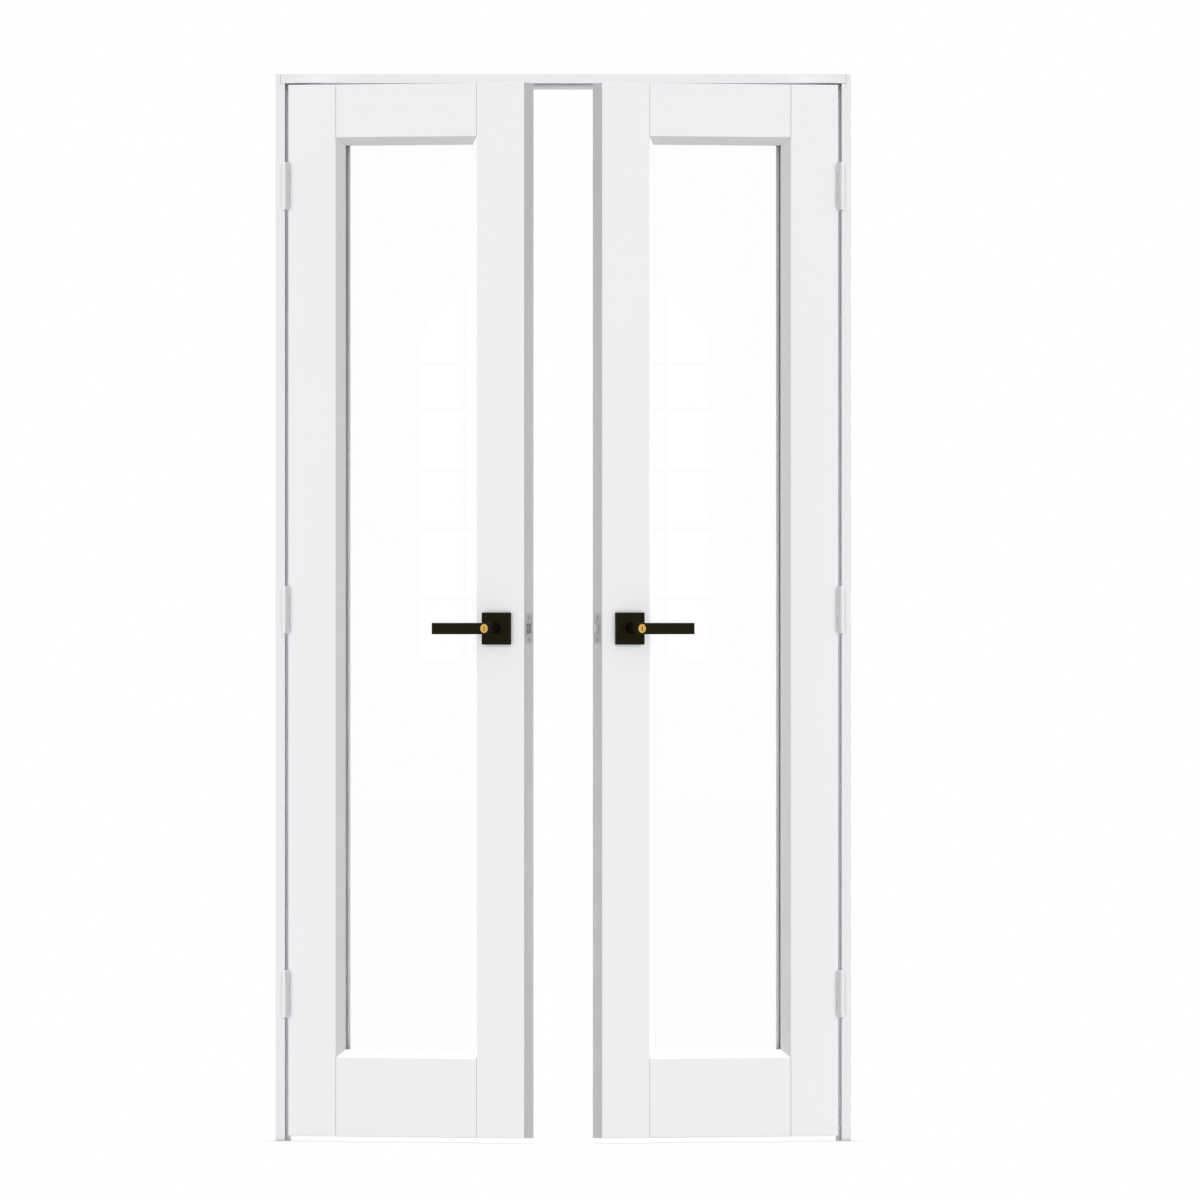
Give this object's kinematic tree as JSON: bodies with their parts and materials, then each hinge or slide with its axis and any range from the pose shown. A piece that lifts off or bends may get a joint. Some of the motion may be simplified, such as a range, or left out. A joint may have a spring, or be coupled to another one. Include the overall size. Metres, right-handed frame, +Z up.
{
  "type": "french doors",
  "caption": "Pair of white glazed doors, each one tall pane in a flat frame, hung ajar in a slim jamb frame, with dark lever locks and key plugs.",
  "frame": {"origin": "middle of the doorway at the floor line, halfway through the depth of the frame", "axes": "+X across the doorway to the right, +Y through the doorway away from the side the leaves swing to, +Z up"},
  "size_m": [1.112, 0.4101, 2.063],
  "materials": {
    "white_paint": "satin white sprayed paint over timber",
    "raw_timber": "bare turned timber",
    "clear_glass": "clear float glass",
    "white_tape": "matt foam tape",
    "white_hinge": "white powder coat",
    "dark_bronze": "satin dark bronze",
    "brass_plug": "polished, lightly turned",
    "satin_steel": "satin"
  },
  "bodies": {
    "frame": {"jamb_left": "white_paint", "jamb_right": "white_paint", "head": "white_paint", "stop_left": "white_paint", "stop_right": "white_paint", "stop_head": "white_paint", "frame_screws": "satin_steel", "hinge_frame_plates_left": "white_hinge", "hinge_frame_plates_right": "white_hinge", "hinge_pins_left": "white_hinge", "hinge_pins_right": "white_hinge", "hinge_frame_screws_left": "satin_steel", "hinge_frame_screws_right": "satin_steel"},
    "leaf_left": {"hinge_stile_left": "white_paint", "lock_stile_left": "white_paint", "top_rail_left": "white_paint", "bottom_rail_left": "white_paint", "dowels_left": "raw_timber", "glass_left": "clear_glass", "glazing_tape_left": "white_tape", "side_beads_left": "white_paint", "cross_beads_left": "white_paint", "hinge_leaf_plates_left": "white_hinge", "hinge_leaf_screws_left": "satin_steel", "rose_outer_left": "dark_bronze", "rose_inner_left": "dark_bronze", "lock_screws_left": "satin_steel", "gear_case_left": "satin_steel", "strike_plate_left": "satin_steel", "bolt_guides_left": "satin_steel"},
    "leaf_right": {"hinge_stile_right": "white_paint", "lock_stile_right": "white_paint", "top_rail_right": "white_paint", "bottom_rail_right": "white_paint", "dowels_right": "raw_timber", "glass_right": "clear_glass", "glazing_tape_right": "white_tape", "side_beads_right": "white_paint", "cross_beads_right": "white_paint", "hinge_leaf_plates_right": "white_hinge", "hinge_leaf_screws_right": "satin_steel", "rose_outer_right": "dark_bronze", "rose_inner_right": "dark_bronze", "lock_screws_right": "satin_steel", "latch_case_right": "satin_steel", "faceplate_right": "satin_steel"},
    "lever_left": {"lever_outer_left": "dark_bronze", "lever_inner_left": "dark_bronze", "spindle_left": "satin_steel"},
    "lever_right": {"lever_outer_right": "dark_bronze", "lever_inner_right": "dark_bronze", "spindle_right": "satin_steel"},
    "key_plug_left": {"key_plug_left": "brass_plug"},
    "key_plug_right": {"key_plug_right": "brass_plug"},
    "turn_button_left": {"turn_button_left": "dark_bronze"},
    "turn_button_right": {"turn_button_right": "dark_bronze"},
    "top_bolt": {"top_bolt_left": "satin_steel"},
    "bottom_bolt": {"bottom_bolt_left": "satin_steel"},
    "latch": {"latch_bolt_right": "satin_steel"}
  },
  "joints": [
    {"name": "leaf_left_swing", "type": "hinge", "parent": "frame", "child": "leaf_left", "pos_m": [-0.5365, -0.0648, 1.026], "axis": [0, 0, -1], "range_deg": [-31, 79]},
    {"name": "leaf_right_swing", "type": "hinge", "parent": "frame", "child": "leaf_right", "pos_m": [0.5365, -0.0648, 1.026], "axis": [0, 0, 1], "range_deg": [-31, 79]},
    {"name": "lever_left_lift", "type": "hinge", "parent": "leaf_left", "child": "lever_left", "pos_m": [-0.11726, -0.28836, 0.991], "axis": [0.515, 0.8572, 0], "range_deg": [0, 45]},
    {"name": "lever_right_press", "type": "hinge", "parent": "leaf_right", "child": "lever_right", "pos_m": [0.11726, -0.28836, 0.991], "axis": [-0.515, 0.8572, 0], "range_deg": [0, 45], "stiffness_Nm_per_rad": 1.5, "springref_deg": -28.65},
    {"name": "key_plug_left_turn", "type": "hinge", "parent": "lever_left", "child": "key_plug_left", "pos_m": [-0.11726, -0.28836, 0.991], "axis": [0.515, 0.8572, 0], "range_deg": [0, 90]},
    {"name": "turn_button_left_turn", "type": "hinge", "parent": "lever_left", "child": "turn_button_left", "pos_m": [-0.11726, -0.28836, 0.991], "axis": [0.515, 0.8572, 0], "range_deg": [0, 90]},
    {"name": "key_plug_right_turn", "type": "hinge", "parent": "lever_right", "child": "key_plug_right", "pos_m": [0.11726, -0.28836, 0.991], "axis": [-0.515, 0.8572, 0], "range_deg": [0, 90]},
    {"name": "turn_button_right_turn", "type": "hinge", "parent": "lever_right", "child": "turn_button_right", "pos_m": [0.11726, -0.28836, 0.991], "axis": [-0.515, 0.8572, 0], "range_deg": [0, 90]},
    {"name": "top_bolt_slide", "type": "slide", "parent": "leaf_left", "child": "top_bolt", "axis": [0, 0, 1], "range_m": [0, 0.0121]},
    {"name": "bottom_bolt_slide", "type": "slide", "parent": "leaf_left", "child": "bottom_bolt", "axis": [0, 0, -1], "range_m": [0, 0.0121]},
    {"name": "latch_slide", "type": "slide", "parent": "leaf_right", "child": "latch", "axis": [0.8572, 0.515, 0], "range_m": [0, 0.0121]}
  ],
  "couplings": [
    {"joint": "top_bolt_slide", "follows": "lever_left_lift", "m_per_rad": 0.015279},
    {"joint": "bottom_bolt_slide", "follows": "lever_left_lift", "m_per_rad": 0.015279},
    {"joint": "latch_slide", "follows": "lever_right_press", "m_per_rad": 0.015279}
  ]
}
